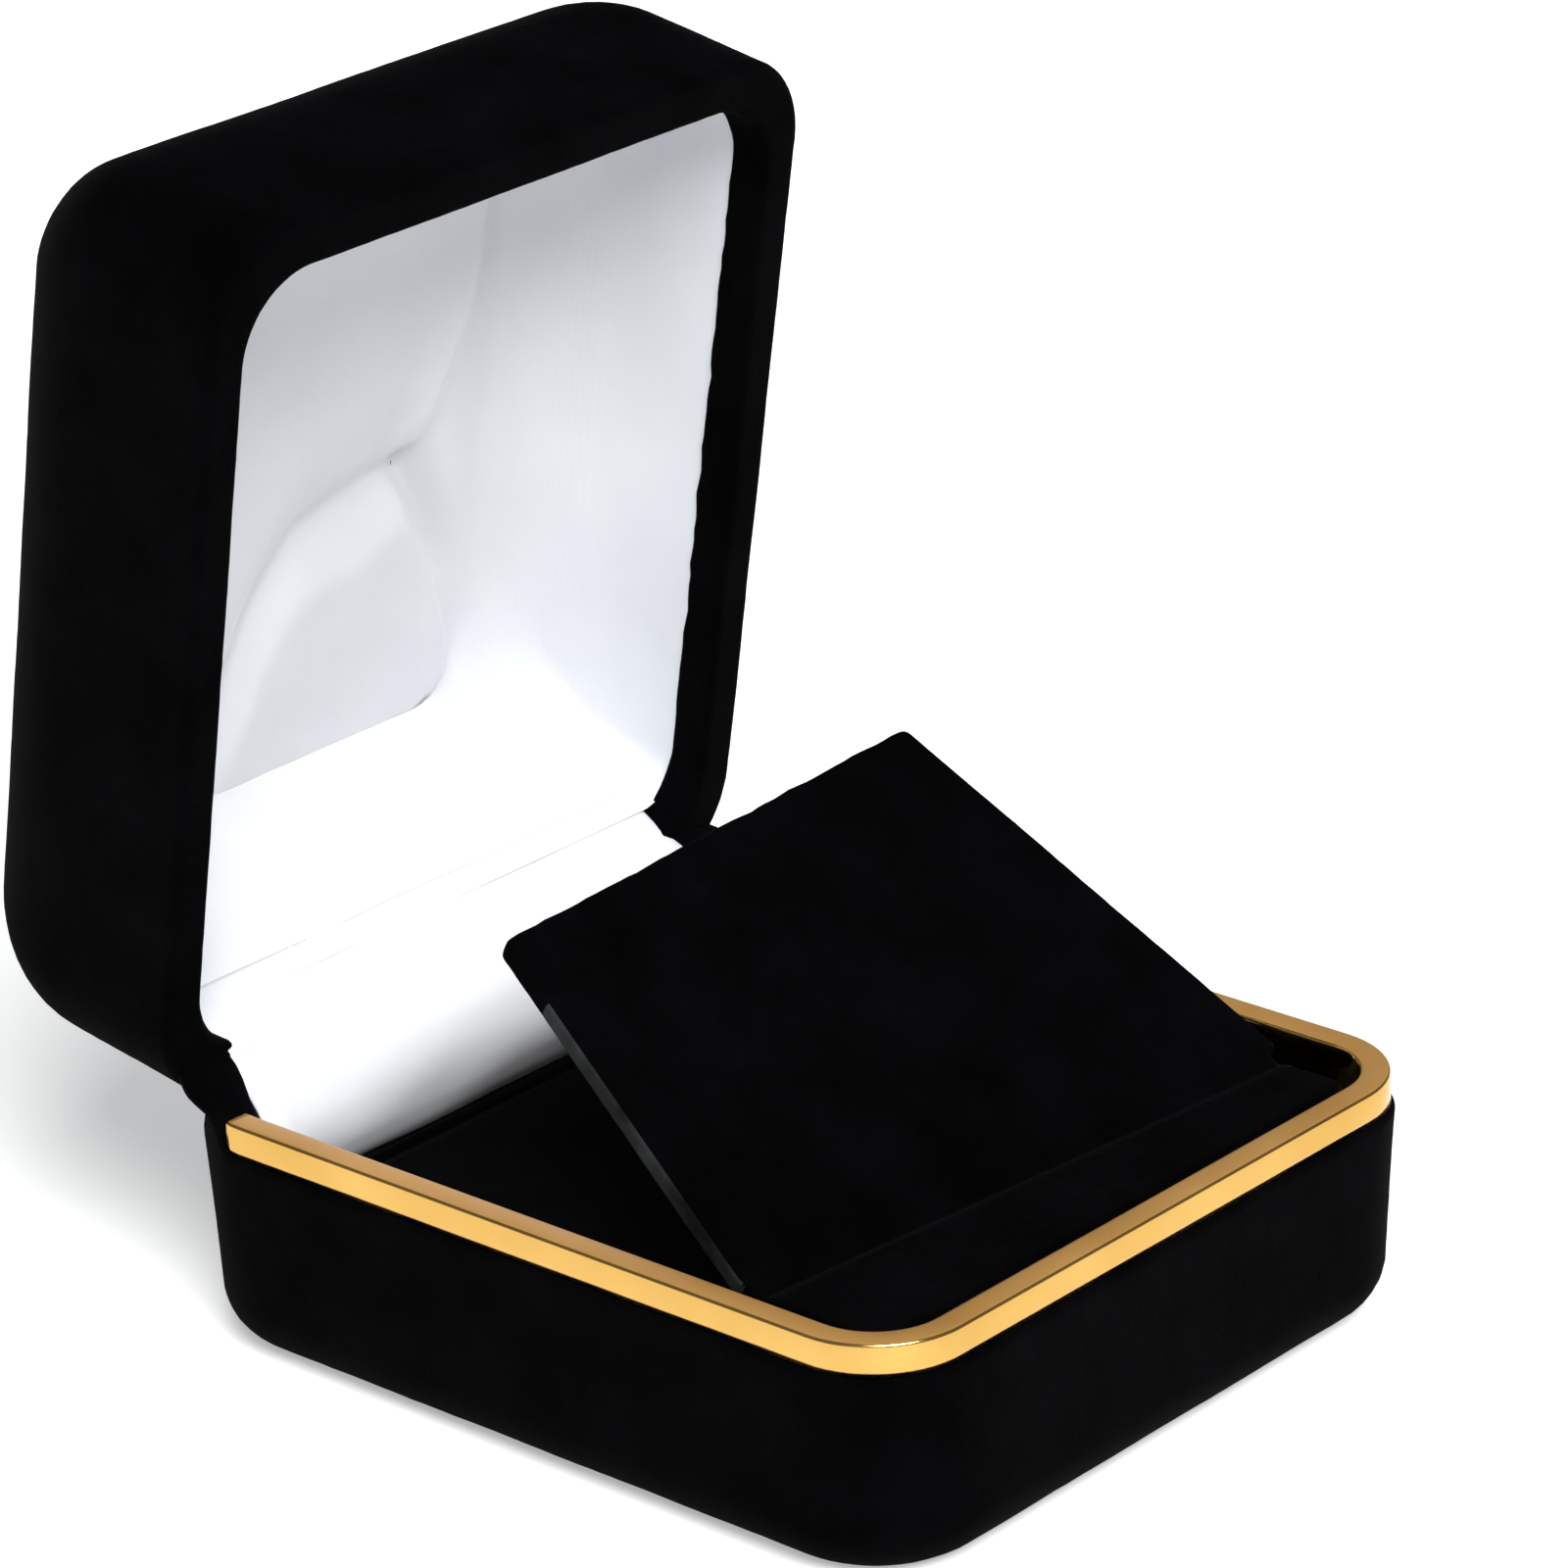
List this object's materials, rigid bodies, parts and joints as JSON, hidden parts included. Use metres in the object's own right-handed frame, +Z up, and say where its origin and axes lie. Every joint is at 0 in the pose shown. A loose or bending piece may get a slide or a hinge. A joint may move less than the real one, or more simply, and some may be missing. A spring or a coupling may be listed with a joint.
{
  "type": "jewelry gift box",
  "caption": "Velvet-covered, spring-hinged jewelry gift box with a gilded rim, satin-lined lid and a fold-up insert flap.",
  "frame": {"origin": "the middle of the flat underside, where the box rests", "axes": "+Z up, +X along the hinge, the hinge at +Y and the opening at -Y"},
  "size_m": [0.0572, 0.0849, 0.0811],
  "materials": {
    "black_velvet": "deep black flocked velvet",
    "gold": "polished gilt",
    "steel": "plain pressed sheet",
    "white_satin": "lustrous white satin",
    "grey_card": "uncoated greyboard",
    "foam": "soft open-cell foam"
  },
  "bodies": {
    "base": {"base_velvet": "black_velvet", "base_shell": "steel", "gold_trim": "gold", "hinge_leaf_base": "steel", "hinge_pin": "steel", "hinge_spring": "steel", "hinge_apron": "white_satin", "base_rivet_left": "steel", "base_rivet_right": "steel", "insert_tray": "black_velvet", "insert_foam": "foam", "insert_pad": "black_velvet", "ledge_foam": "foam", "ledge_card": "grey_card", "ledge_velvet": "black_velvet", "flap_fold": "black_velvet"},
    "flap": {"flap_velvet": "black_velvet", "flap_card": "grey_card"},
    "lid": {"lid_velvet": "black_velvet", "lid_shell": "steel", "lid_liner": "grey_card", "lid_puff": "foam", "lid_satin": "white_satin", "hinge_leaf_lid": "steel", "lid_rivet_left": "steel", "lid_rivet_right": "steel"}
  },
  "joints": [
    {"name": "lid_hinge", "type": "hinge", "parent": "base", "child": "lid", "pos_m": [0, 0.03085, 0.01681], "axis": [-1, 0, 0], "range_deg": [-80.4, 12], "deforming": ["hinge_apron", "hinge_spring"]},
    {"name": "flap_hinge", "type": "hinge", "parent": "base", "child": "flap", "pos_m": [0, -0.0197, 0.0162], "axis": [0.995, -0.0995, 0], "range_deg": [-30.6, 2]}
  ]
}
